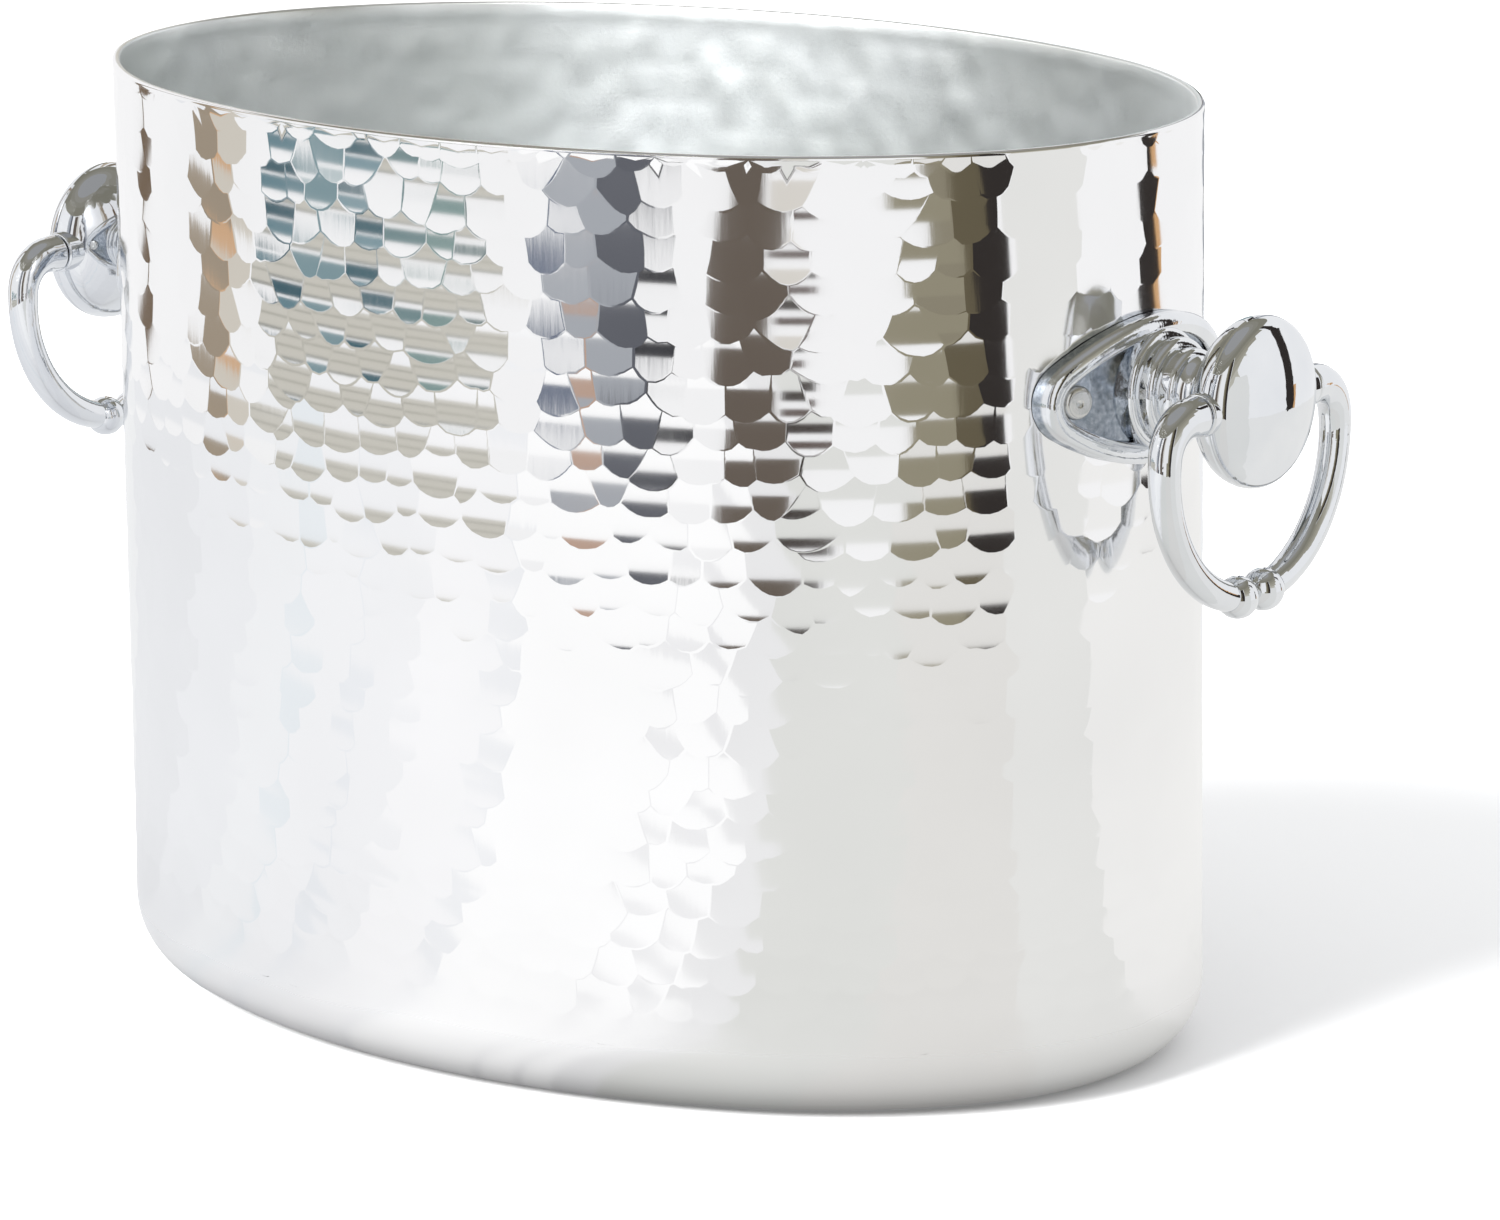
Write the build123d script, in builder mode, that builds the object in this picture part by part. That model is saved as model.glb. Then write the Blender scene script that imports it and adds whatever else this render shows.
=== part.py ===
"""Oval champagne bucket: a pressed aluminium shell with a ring handle at each end.

Frame: millimetres, +Z up, +X along the oval's long axis, origin on the table under the centre.
Each handle is a cast oval backplate riveted to the shell, a turned collar and a mushroom knob,
held together by one screw from behind. A pin turns in the knob's cross bore, and the two halves of
the ring are pressed onto the pin's ends, so that the ring swings as one piece.

Every handle piece is built at the +X end and then turned about Z to each end of the oval.
"""

from build123d import *
from math import asin, atan2, cos, degrees, radians, sin, sqrt
import os

# ---- Shell ----
HALF_LENGTH = 165.0
HALF_WIDTH = 112.4
HEIGHT = 254.0
END_RADIUS = 81.0  # arc round each end of the oval
END_ANGLE = 36.5  # from the long axis to where the end arc gives way to the middle arc
SIDE_ANGLE = 66.5  # and to where the middle arc gives way to the flattest one
WALL = 2.2
FOOT_RADIUS = 18.5  # outer rounding between wall and base
RIM_OUTER_ROUND = 0.9
RIM_INNER_ROUND = 0.6
BASE_MARGIN = 42.0  # width of the flat margin that the bucket stands on
BASE_RISE = 1.5  # the panel inside the margin is pressed up by this much
BASE_SLOPE = 45.0

# ---- Backplate ----
HANDLE_Z = 188.0
PLATE_GAP = 0.05  # between shell and plate
FIELD_THICKNESS = 2.2
BEAD_HEIGHT = 5.4
BEAD_WIDTH = 5.8
BEAD_ROUND = 2.6
PLATE_HALF_LENGTH = 37.6
PLATE_HALF_HEIGHT = 19.3
PLATE_TIP_RADIUS = 11.5
BOSS_STEPS = [(15.8, 171.6, 1.5), (13.8, 176.2, 1.9)]  # radius, X of front face, edge rounding

# ---- Collar and knob ----
COLLAR_RADIUS = 11.5
COLLAR_FRONT_X = 180.8
COLLAR_ROUND = 1.8
NECK_RADIUS = 8.6
NECK_FLARE_RADIUS = 9.6
KNOB_X = 199.5  # equator of the knob
PIN_X = 197.3  # axis of the ring's pin
KNOB_RADIUS = 22.3
KNOB_FRONT = 8.8  # depth of the dome in front of the equator
KNOB_FRONT_ROUND = 5.0  # radius of its edge
KNOB_BACK = 14.5  # depth of the dome behind the equator, which the neck cuts short
KNOB_BACK_ROUND = 9.0
KNOB_GROOVE_DEPTH = 0.6
KNOB_GROOVE_HALF_WIDTH = 0.5
LUG_FACE_Y = 23.7
LUG_RADIUS = 5.7
LUG_ROUND = 0.7

# ---- Ring ----
RING_RADIUS = 38.0  # centreline of the large arc
RING_DROP = 12.6  # its centre lies this far under the pin
SHOULDER_RADIUS = 10.0  # centreline of the bend beside the knob
ARM_GAP = 0.3  # between lug face and arm end
ARM_END_RADIUS = 5.45
ARM_SHOULDER_RADIUS = 4.4
ARM_RADIUS = 4.15
ARM_TIP_RADIUS = 3.7
ARM_END_ROUND = 1.0
BALL_RADIUS = 5.6
BALL_GAP = 0.7  # between the two balls' flattened tips
BALL_OFFSET = 5.75  # from the middle of the gap to a ball's centre

# ---- Fasteners ----
RIVET_Y = 27.0
RIVET_SHANK_RADIUS = 2.4
RIVET_SEAT = 2.28  # flat seat for the head, measured from the shell's outer face
RIVET_HEAD_RADIUS = 4.5
RIVET_HEAD_HEIGHT = 1.9
RIVET_HEAD_ROUND = 1.6
RIVET_DIMPLE_RADIUS = 2.4
RIVET_DIMPLE_DEPTH = 0.35
RIVET_TAIL_RADIUS = 4.2
RIVET_TAIL_HEIGHT = 1.5
RIVET_TAIL_ROUND = 0.7
RIVET_TAIL_GAP = 0.14  # lets the flat tail clear the curved wall at its edge
PIN_RADIUS = 2.5
PIN_HALF_LENGTH = 28.5
SCREW_RADIUS = 3.0
SCREW_HEAD_RADIUS = 5.6
SCREW_HEAD_INSET = 0.4  # from the plate's back to the screw's head
SCREW_TIP_X = 192.6
SCREW_SOCKET_RADIUS = 2.0
SCREW_SOCKET_DEPTH = 2.2
CLEARANCE = 0.05

END_CENTRE_X = HALF_LENGTH - END_RADIUS
PLATE_BACK_RADIUS = END_RADIUS + PLATE_GAP
PLATE_BACK_X = HALF_LENGTH + PLATE_GAP
ARM_END_Y = LUG_FACE_Y + ARM_GAP
TALL = 60.0  # more than the plate's height
BLANK_X = PLATE_BACK_X - 20.0  # where the plate's blanks start, inside the shell
BLANK_DEPTH = 40.0
ENDS_OF_OVAL = {"right": 0, "left": 180}

HANDLE_AXIS = Axis((0, 0, HANDLE_Z), (1, 0, 0))
PROFILE_PLANE = Plane(origin=(0, 0, HANDLE_Z), x_dir=(1, 0, 0), z_dir=(0, -1, 0))  # X outwards, Y up
RING_PLANE = Plane(origin=(PIN_X, 0, HANDLE_Z), x_dir=(0, 1, 0), z_dir=(1, 0, 0))  # X is row Y, Y up
PIN_PLANE = Plane(origin=(PIN_X, 0, HANDLE_Z), x_dir=(1, 0, 0), z_dir=(0, 1, 0))  # square to the pin


def across_handle(x):
    """Plane across the handle's axis at the given X: its X is the row's +Y and its Y is up."""
    return Plane(origin=(x, 0, HANDLE_Z), x_dir=(0, 1, 0), z_dir=(1, 0, 0))


def on_wall(y, turn=0):
    """Plane on the shell's end arc at a rivet, with its Z outwards, turned about the row's Z."""
    angle = asin(y / END_RADIUS)
    origin = Vector(END_CENTRE_X + END_RADIUS * cos(angle), y, HANDLE_Z).rotate(Axis.Z, turn)
    normal = Vector(cos(angle), sin(angle), 0).rotate(Axis.Z, turn)
    return Plane(origin=origin, x_dir=(0, 0, 1), z_dir=normal)


def plate_oval(x, inset):
    """The backplate's outline on a plane at X: an oval of two side arcs and two tip arcs."""
    tip_y = PLATE_HALF_LENGTH - PLATE_TIP_RADIUS
    bulge = PLATE_HALF_HEIGHT - PLATE_TIP_RADIUS
    # The side arcs are tangent to the tip arcs, and their tops lie at PLATE_HALF_HEIGHT.
    side_radius = PLATE_TIP_RADIUS + (tip_y**2 + bulge**2) / (2 * bulge)
    side_drop = side_radius - PLATE_HALF_HEIGHT
    joint = degrees(atan2(side_drop, tip_y))
    with BuildSketch(across_handle(x)) as outline:
        with BuildLine():
            CenterArc((tip_y, 0), PLATE_TIP_RADIUS - inset, -joint, 2 * joint)
            CenterArc((0, -side_drop), side_radius - inset, joint, 180 - 2 * joint)
            CenterArc((-tip_y, 0), PLATE_TIP_RADIUS - inset, 180 - joint, 2 * joint)
            CenterArc((0, side_drop), side_radius - inset, 180 + joint, 180 - 2 * joint)
        make_face()
    return outline.sketch


def drum(radius):
    """A disc about the vertical axis of the shell's end arc, under the backplate."""
    with BuildSketch(Plane((END_CENTRE_X, 0, HANDLE_Z - TALL / 2))) as disc:
        Circle(radius)
    return disc.sketch


def front_edge(part):
    """The circular edge that lies furthest out along the handle."""
    return part.edges().filter_by(GeomType.CIRCLE).sort_by(Axis.X)[-1]


def wide_radius(depth, edge_round):
    """Radius of the arc over a dome of the knob, tangent to the tighter arc at the equator."""
    reach = KNOB_RADIUS - edge_round
    return (depth**2 + reach**2 - edge_round**2) / (2 * (depth - edge_round))


def dome_joint(depth, edge_round):
    """Where a dome's two arcs meet: distance from the equator's plane, and radius."""
    wide = wide_radius(depth, edge_round)
    lean = atan2(KNOB_RADIUS - edge_round, wide - depth)
    return wide * cos(lean) - wide + depth, wide * sin(lean)


def ring_path(end):
    """Centreline of one arm of the ring, from the pin to its ball; end is -1 or 1 along Y."""
    reach = RING_RADIUS - SHOULDER_RADIUS
    bend_y = sqrt(reach**2 - (RING_DROP - SHOULDER_RADIUS) ** 2)
    lean = atan2(RING_DROP - SHOULDER_RADIUS, bend_y)
    turn = (radians(90) + lean) / 2
    shoulder_mid = (bend_y + SHOULDER_RADIUS * sin(turn), SHOULDER_RADIUS * (cos(turn) - 1))
    shoulder_end = (RING_RADIUS * cos(lean), RING_RADIUS * sin(lean) - RING_DROP)
    ball_drop = sqrt(RING_RADIUS**2 - BALL_OFFSET**2)
    sweep_end = atan2(ball_drop, BALL_OFFSET)
    half = (sweep_end - lean) / 2
    arc_mid = (RING_RADIUS * cos(half), -RING_RADIUS * sin(half) - RING_DROP)
    ball = (BALL_OFFSET, -ball_drop - RING_DROP)
    with BuildLine(RING_PLANE) as path:
        Line((end * ARM_END_Y, 0), (end * bend_y, 0))
        ThreePointArc((end * bend_y, 0), (end * shoulder_mid[0], shoulder_mid[1]),
                      (end * shoulder_end[0], shoulder_end[1]))
        ThreePointArc((end * shoulder_end[0], shoulder_end[1]), (end * arc_mid[0], arc_mid[1]),
                      (end * ball[0], ball[1]))
    return path.line


# The neck's flare cuts the knob's rear dome short at this X.
BACK_DOME_RADIUS = wide_radius(KNOB_BACK, KNOB_BACK_ROUND)
BACK_DOME_CUT = BACK_DOME_RADIUS - sqrt(BACK_DOME_RADIUS**2 - NECK_FLARE_RADIUS**2)
KNOB_BACK_X = KNOB_X - KNOB_BACK + BACK_DOME_CUT


# ---- Shell ----


def oval_arcs():
    """Centre, radius, start and end angle of the three tangent arcs of the oval's first quarter."""
    end_x, end_y = cos(radians(END_ANGLE)), sin(radians(END_ANGLE))
    side_x, side_y = cos(radians(SIDE_ANGLE)), sin(radians(SIDE_ANGLE))
    # The side arc's centre lies on the Y axis and its top at HALF_WIDTH; this gives both radii.
    across = END_CENTRE_X + END_RADIUS * end_x
    along = HALF_WIDTH - END_RADIUS * end_y
    spread = (end_x - side_x) * (1 - side_y) - side_x * (side_y - end_y)
    middle_radius = (across * (1 - side_y) - side_x * along) / spread
    side_radius = ((end_x - side_x) * along - (side_y - end_y) * across) / spread
    middle_centre = (across - middle_radius * end_x, (END_RADIUS - middle_radius) * end_y)
    return [
        ((END_CENTRE_X, 0), END_RADIUS, 0, END_ANGLE),
        (middle_centre, middle_radius, END_ANGLE, SIDE_ANGLE),
        ((0, HALF_WIDTH - side_radius), side_radius, SIDE_ANGLE, 90),
    ]


def oval(z, inset):
    """The shell's outline at height z, drawn inwards by the inset."""
    with BuildSketch(Plane.XY.offset(z)) as outline:
        with BuildLine():
            for centre, radius, start, end in oval_arcs():
                CenterArc(centre, radius - inset, start, end - start)
            mirror(about=Plane.XZ)
            mirror(about=Plane.YZ)
        make_face()
    return outline.sketch


def oval_block(inset, floor_z, rounding):
    """A solid oval block from floor_z upwards, with its lower edge rounded."""
    with BuildPart() as block:
        extrude(oval(floor_z, inset), amount=HEIGHT)
        fillet(block.edges().group_by(Axis.Z)[0], rounding)
    return block.part


def make_bucket_shell():
    hollow = oval_block(WALL, WALL, FOOT_RADIUS - WALL)
    with BuildPart() as shell:
        add(oval_block(0, 0, FOOT_RADIUS))
        add(hollow, mode=Mode.SUBTRACT)
        # The base is pressed up inside its margin, at the thickness of the sheet.
        extrude(oval(WALL, BASE_MARGIN), amount=BASE_RISE, taper=BASE_SLOPE)
        extrude(oval(0, BASE_MARGIN), amount=BASE_RISE, taper=BASE_SLOPE, mode=Mode.SUBTRACT)
        rim = shell.faces().filter_by(Axis.Z).sort_by(Axis.Z)[-1]
        fillet(rim.outer_wire().edges(), RIM_OUTER_ROUND)
        rim = shell.faces().filter_by(Axis.Z).sort_by(Axis.Z)[-1]
        fillet(rim.inner_wires()[0].edges(), RIM_INNER_ROUND)
        rivet_planes = [on_wall(y, turn) for y in (-RIVET_Y, RIVET_Y) for turn in ENDS_OF_OVAL.values()]
        with Locations(rivet_planes):
            Cylinder(RIVET_SHANK_RADIUS + CLEARANCE, 4 * WALL, mode=Mode.SUBTRACT)
    return shell.part


# ---- Fixed pieces of a handle ----


def make_bead():
    """The plate's raised border, as a blank that the plate is built onto."""
    with BuildPart() as bead:
        extrude(plate_oval(BLANK_X, 0), amount=BLANK_DEPTH)
        extrude(plate_oval(BLANK_X, BEAD_WIDTH), amount=BLANK_DEPTH, mode=Mode.SUBTRACT)
        extrude(drum(PLATE_BACK_RADIUS + BEAD_HEIGHT), amount=TALL, mode=Mode.INTERSECT)
        extrude(drum(PLATE_BACK_RADIUS), amount=TALL, mode=Mode.SUBTRACT)
        fillet(bead.faces().sort_by(Axis.X)[-1].edges(), BEAD_ROUND)
    return bead.part


def make_backplate():
    bead = make_bead()
    with BuildPart() as plate:
        extrude(plate_oval(BLANK_X, BEAD_WIDTH / 2), amount=BLANK_DEPTH)
        extrude(drum(PLATE_BACK_RADIUS + FIELD_THICKNESS), amount=TALL, mode=Mode.INTERSECT)
        add(bead)
        for radius, front_x, rounding in BOSS_STEPS:
            with BuildSketch(across_handle(BLANK_X)):
                Circle(radius)
            extrude(amount=front_x - BLANK_X)
            fillet(front_edge(plate), rounding)
        extrude(drum(PLATE_BACK_RADIUS), amount=TALL, mode=Mode.SUBTRACT)
        # The screw's hole is countersunk from behind.
        back = Plane(origin=(PLATE_BACK_X, 0, HANDLE_Z), x_dir=(0, 1, 0), z_dir=(-1, 0, 0))
        with Locations(back.offset(-SCREW_HEAD_INSET)):
            CounterSinkHole(SCREW_RADIUS + CLEARANCE, SCREW_HEAD_RADIUS + CLEARANCE, counter_sink_angle=90)
        for y in (-RIVET_Y, RIVET_Y):
            with BuildSketch(on_wall(y)):
                Circle(RIVET_SHANK_RADIUS + CLEARANCE)
            extrude(amount=RIVET_SEAT + FIELD_THICKNESS, mode=Mode.SUBTRACT)
            with BuildSketch(on_wall(y).offset(RIVET_SEAT)):
                Circle(RIVET_HEAD_RADIUS + CLEARANCE)
            extrude(amount=FIELD_THICKNESS, mode=Mode.SUBTRACT)
    return plate.part


def make_collar():
    boss_front_x = BOSS_STEPS[-1][1]
    with BuildPart() as collar:
        with BuildSketch(across_handle(boss_front_x)):
            Circle(COLLAR_RADIUS)
        extrude(amount=COLLAR_FRONT_X - boss_front_x)
        fillet(front_edge(collar), COLLAR_ROUND)
        # A waisted neck flares out again to meet the knob.
        with BuildSketch(PROFILE_PLANE):
            with BuildLine():
                waist = ((COLLAR_FRONT_X + KNOB_BACK_X) / 2, NECK_RADIUS)
                ThreePointArc((COLLAR_FRONT_X, NECK_FLARE_RADIUS), waist, (KNOB_BACK_X, NECK_FLARE_RADIUS))
                Polyline((KNOB_BACK_X, NECK_FLARE_RADIUS), (KNOB_BACK_X, 0), (COLLAR_FRONT_X, 0),
                         (COLLAR_FRONT_X, NECK_FLARE_RADIUS))
            make_face()
        revolve(axis=HANDLE_AXIS)
        with Locations(across_handle(KNOB_BACK_X)):
            Hole(SCREW_RADIUS + CLEARANCE)
    return collar.part


def make_knob():
    front_wide = wide_radius(KNOB_FRONT, KNOB_FRONT_ROUND)
    front_x, front_radius = dome_joint(KNOB_FRONT, KNOB_FRONT_ROUND)
    back_x, back_radius = dome_joint(KNOB_BACK, KNOB_BACK_ROUND)
    front_top = (KNOB_X + KNOB_FRONT, 0)
    front_joint = (KNOB_X + front_x, front_radius)
    rim = (KNOB_X, KNOB_RADIUS)
    back_joint = (KNOB_X - back_x, back_radius)
    neck = (KNOB_BACK_X, NECK_FLARE_RADIUS)
    groove_floor = KNOB_RADIUS - KNOB_GROOVE_DEPTH
    with BuildPart() as knob:
        with BuildSketch(PROFILE_PLANE):
            with BuildLine():
                RadiusArc(front_top, front_joint, -front_wide)
                RadiusArc(front_joint, rim, -KNOB_FRONT_ROUND)
                RadiusArc(rim, back_joint, -KNOB_BACK_ROUND)
                RadiusArc(back_joint, neck, -BACK_DOME_RADIUS)
                Polyline(neck, (KNOB_BACK_X, 0), front_top)
            make_face()
            # A fine groove runs round the equator.
            with BuildLine():
                Polyline((KNOB_X - KNOB_GROOVE_HALF_WIDTH, KNOB_RADIUS + CLEARANCE), (KNOB_X, groove_floor),
                         (KNOB_X + KNOB_GROOVE_HALF_WIDTH, KNOB_RADIUS + CLEARANCE), close=True)
            make_face(mode=Mode.SUBTRACT)
        revolve(axis=HANDLE_AXIS)
        # A round lug on each side, faced off square to the pin.
        with BuildSketch(PIN_PLANE):
            Circle(LUG_RADIUS)
        extrude(amount=LUG_FACE_Y, both=True)
        lug_faces = knob.faces().filter_by(Axis.Y).group_by(Axis.Y)
        for lug_face in (lug_faces[0][0], lug_faces[-1][0]):
            fillet(lug_face.edges(), LUG_ROUND)
        with BuildSketch(PIN_PLANE):
            Circle(PIN_RADIUS + CLEARANCE)
        extrude(amount=KNOB_RADIUS + LUG_RADIUS, both=True, mode=Mode.SUBTRACT)
        with BuildSketch(across_handle(KNOB_BACK_X)):
            Circle(SCREW_RADIUS + CLEARANCE)
        extrude(amount=SCREW_TIP_X + CLEARANCE - KNOB_BACK_X, mode=Mode.SUBTRACT)
    return knob.part


def make_knob_screw():
    head_x = PLATE_BACK_X + SCREW_HEAD_INSET
    cone_end_x = head_x + SCREW_HEAD_RADIUS - SCREW_RADIUS
    with BuildPart() as screw:
        with BuildSketch(PROFILE_PLANE):
            with BuildLine():
                Polyline((head_x, 0), (head_x, SCREW_HEAD_RADIUS), (cone_end_x, SCREW_RADIUS),
                         (SCREW_TIP_X, SCREW_RADIUS), (SCREW_TIP_X, 0), close=True)
            make_face()
        revolve(axis=HANDLE_AXIS)
        chamfer(screw.faces().sort_by(Axis.X)[-1].edges(), SCREW_RADIUS / 4)
        with BuildSketch(across_handle(head_x)):
            RegularPolygon(SCREW_SOCKET_RADIUS, 6)
        extrude(amount=SCREW_SOCKET_DEPTH, mode=Mode.SUBTRACT)
    return screw.part


def make_rivet(y):
    wall = on_wall(y)
    tail_plane = wall.offset(-WALL - RIVET_TAIL_GAP)
    with BuildPart() as rivet:
        with BuildSketch(wall.offset(RIVET_SEAT)):
            Circle(RIVET_HEAD_RADIUS)
        extrude(amount=RIVET_HEAD_HEIGHT)
        head_rim = rivet.edges().sort_by_distance(wall.origin)[-1]
        fillet(head_rim, RIVET_HEAD_ROUND)
        dimple_rise = RIVET_SEAT + RIVET_HEAD_HEIGHT + RIVET_DIMPLE_RADIUS - RIVET_DIMPLE_DEPTH
        with Locations(wall.offset(dimple_rise)):
            Sphere(RIVET_DIMPLE_RADIUS, mode=Mode.SUBTRACT)
        with BuildSketch(tail_plane):
            Circle(RIVET_TAIL_RADIUS)
        extrude(amount=-RIVET_TAIL_HEIGHT)
        inner_faces = rivet.faces().sort_by_distance((0, y, HANDLE_Z))
        fillet(inner_faces[0].edges(), RIVET_TAIL_ROUND)
        with BuildSketch(tail_plane):
            Circle(RIVET_SHANK_RADIUS)
        extrude(amount=RIVET_SEAT + WALL + RIVET_TAIL_GAP)
    return rivet.part


# ---- Swinging pieces of a handle ----


def make_pivot_pin():
    with BuildPart() as pin:
        with BuildSketch(PIN_PLANE):
            Circle(PIN_RADIUS)
        extrude(amount=PIN_HALF_LENGTH, both=True)
        chamfer(pin.edges().filter_by(GeomType.CIRCLE), PIN_RADIUS / 5)
    return pin.part


def make_half_ring(end):
    """One arm of the ring; end is -1 or 1 along Y."""
    path = ring_path(end)
    stations = ((0, ARM_END_RADIUS), (0.22, ARM_SHOULDER_RADIUS), (0.6, ARM_RADIUS), (1, ARM_TIP_RADIUS))
    sections = []
    for share, radius in stations:
        with BuildSketch(Plane(path @ share, z_dir=path % share)) as section:
            Circle(radius)
        sections.append(section.sketch)
    with BuildPart() as half:
        sweep(sections=sections, path=path, multisection=True)
        arm_end = half.faces().sort_by_distance(path @ 0)[0]
        fillet(arm_end.edges(), ARM_END_ROUND)
        with Locations(path @ 1):
            Sphere(BALL_RADIUS)
        # The ball's tip is flattened where it faces the other arm's.
        with BuildSketch(Plane.XZ.offset(-end * BALL_GAP / 2)):
            with Locations((PIN_X, HANDLE_Z)):
                Rectangle(TALL, 4 * TALL)
        extrude(amount=end * BALL_RADIUS, mode=Mode.SUBTRACT)
        # The bore that the pin is pressed into.
        with BuildSketch(PIN_PLANE):
            Circle(PIN_RADIUS)
        extrude(amount=end * (PIN_HALF_LENGTH + CLEARANCE), mode=Mode.SUBTRACT)
    return half.part


def write_piece(part, label, turn=0):
    """Turn a finished piece about Z to its end of the oval, label it and write it."""
    placed = part.rotate(Axis.Z, turn)
    placed.label = label
    export_step(placed, f"parts/{label}.step")


os.makedirs("parts", exist_ok=True)
write_piece(make_bucket_shell(), "bucket_shell")
single_pieces = {
    "backplate": make_backplate(),
    "collar": make_collar(),
    "knob": make_knob(),
    "knob_screw": make_knob_screw(),
    "pivot_pin": make_pivot_pin(),
}
paired_pieces = {
    -1: {"rivet": make_rivet(-RIVET_Y), "half_ring": make_half_ring(-1)},
    1: {"rivet": make_rivet(RIVET_Y), "half_ring": make_half_ring(1)},
}
for oval_end, turn in ENDS_OF_OVAL.items():
    for name, part in single_pieces.items():
        write_piece(part, f"{oval_end}_{name}", turn)
    for end, pieces in paired_pieces.items():
        side = "front" if (end < 0) == (turn == 0) else "back"
        for name, part in pieces.items():
            write_piece(part, f"{oval_end}_{side}_{name}", turn)
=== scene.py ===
"""Oval hammered champagne bucket: looks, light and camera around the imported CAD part.

Metres, in the CAD frame: +Z up, +X along the oval's long axis, origin on the table.
The plain CAD shell is replaced by a hammered one with the same outline. All else is the CAD's own.
"""

import math
import random

import bpy
import numpy as np
from mathutils import Matrix, Vector


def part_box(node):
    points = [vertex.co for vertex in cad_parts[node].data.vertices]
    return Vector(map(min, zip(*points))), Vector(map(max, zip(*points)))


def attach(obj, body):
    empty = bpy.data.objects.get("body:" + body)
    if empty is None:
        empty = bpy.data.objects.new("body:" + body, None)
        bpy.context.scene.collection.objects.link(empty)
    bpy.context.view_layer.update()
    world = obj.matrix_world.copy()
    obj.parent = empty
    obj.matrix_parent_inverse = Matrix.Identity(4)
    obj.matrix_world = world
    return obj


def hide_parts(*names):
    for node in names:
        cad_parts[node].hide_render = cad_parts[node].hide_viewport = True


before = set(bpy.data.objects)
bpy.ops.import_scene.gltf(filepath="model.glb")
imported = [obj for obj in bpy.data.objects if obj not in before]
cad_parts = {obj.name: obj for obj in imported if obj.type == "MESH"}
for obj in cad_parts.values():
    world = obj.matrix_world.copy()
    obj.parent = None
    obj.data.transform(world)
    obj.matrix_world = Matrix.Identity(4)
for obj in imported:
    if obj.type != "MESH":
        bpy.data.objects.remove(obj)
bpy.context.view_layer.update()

MM = 0.001

# ---- Shell, in millimetres until its mesh is made ----
_, SHELL_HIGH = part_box("bucket_shell")
HALF_LENGTH = SHELL_HIGH.x / MM
HALF_WIDTH = SHELL_HIGH.y / MM
HEIGHT = SHELL_HIGH.z / MM
END_RADIUS = 81.0
END_ANGLE = 36.5  # where the end arc meets the middle one, in degrees from +X
SIDE_ANGLE = 66.5  # where the middle arc meets the side one
WALL = 2.2
FOOT_RADIUS = 18.5
RIM_OUTER_ROUND = 0.9
RIM_INNER_ROUND = 0.6
MARGIN_LOOP = 30.0  # inset of a ring of points on the flat margin
BASE_MARGIN = 42.0  # inset of the margin's inner edge
BASE_RISE = 1.5  # of the pressed-up base, along a 45 degree step
BASE_LOOP = 60.0  # inset of the innermost ring, which one face closes
RING_POINTS = 400
FIELD_REACH = 83.3  # the backplate's field, from the axis of the end arc
FIELD_BLEND = 0.7  # over which the field turns into the border

# ---- Hammer marks ----
MARK_COLUMNS = 82
MARK_ROW_PITCH = 8.9
MARK_CURVE = 135.0  # radius of the hammer's face
MARK_JITTER = 0.19  # of a mark's place, as a share of the pitch
JITTER_UP = 0.8  # how much of that applies in height
ROW_SLIP = 0.12  # how far a whole row may slip round, in marks
MARK_WEIGHT = 14.0  # spread of the marks' depths, as squared millimetres of the power diagram
MARK_LOW = 19.0  # the marks fade out over the foot's rounding
MARK_LOW_FADE = 16.0
MARK_HIGH_FADE = 1.5  # they fade out just under the rim too
SHORTEST_RIDGE = 0.02  # a shorter side of a mark is left out
SEGMENT = 2.0  # length of a ridge's pieces
SCALLOP = 0.17  # how far a ridge sags, as a share of its width
SAG_LIMIT = 0.8  # as a share of the height left above the lowest line
CREST = 0.45  # half width of the rounding along a ridge
LEAST_DISH = 0.4  # share of a small mark that the rounding leaves alone
INNER_COLUMNS = 66  # the marks inside are broader, and their coarser mesh softens them
INNER_ROW_PITCH = 8.8
INNER_CURVE = 52.0
INNER_DEPTH = 0.36
INNER_STEPS = 66

rng = random.Random(11)


# ---- Outline ----


def oval_arcs():
    """Centre, radius, start and end angle of the three tangent arcs of the oval's first quarter."""
    end_x, end_y = math.cos(math.radians(END_ANGLE)), math.sin(math.radians(END_ANGLE))
    side_x, side_y = math.cos(math.radians(SIDE_ANGLE)), math.sin(math.radians(SIDE_ANGLE))
    across = HALF_LENGTH - END_RADIUS + END_RADIUS * end_x
    along = HALF_WIDTH - END_RADIUS * end_y
    spread = (end_x - side_x) * (1 - side_y) - side_x * (side_y - end_y)
    middle = (across * (1 - side_y) - side_x * along) / spread
    side = ((end_x - side_x) * along - (side_y - end_y) * across) / spread
    return [
        (HALF_LENGTH - END_RADIUS, 0.0, END_RADIUS, 0.0, END_ANGLE),
        (across - middle * end_x, (END_RADIUS - middle) * end_y, middle, END_ANGLE, SIDE_ANGLE),
        (0.0, HALF_WIDTH - side, side, SIDE_ANGLE, 90.0),
    ]


ARCS = oval_arcs()
ARC_LENGTHS = [r * math.radians(b - a) for _, _, r, a, b in ARCS]
QUARTER = sum(ARC_LENGTHS)
PERIMETER = 4 * QUARTER


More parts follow.
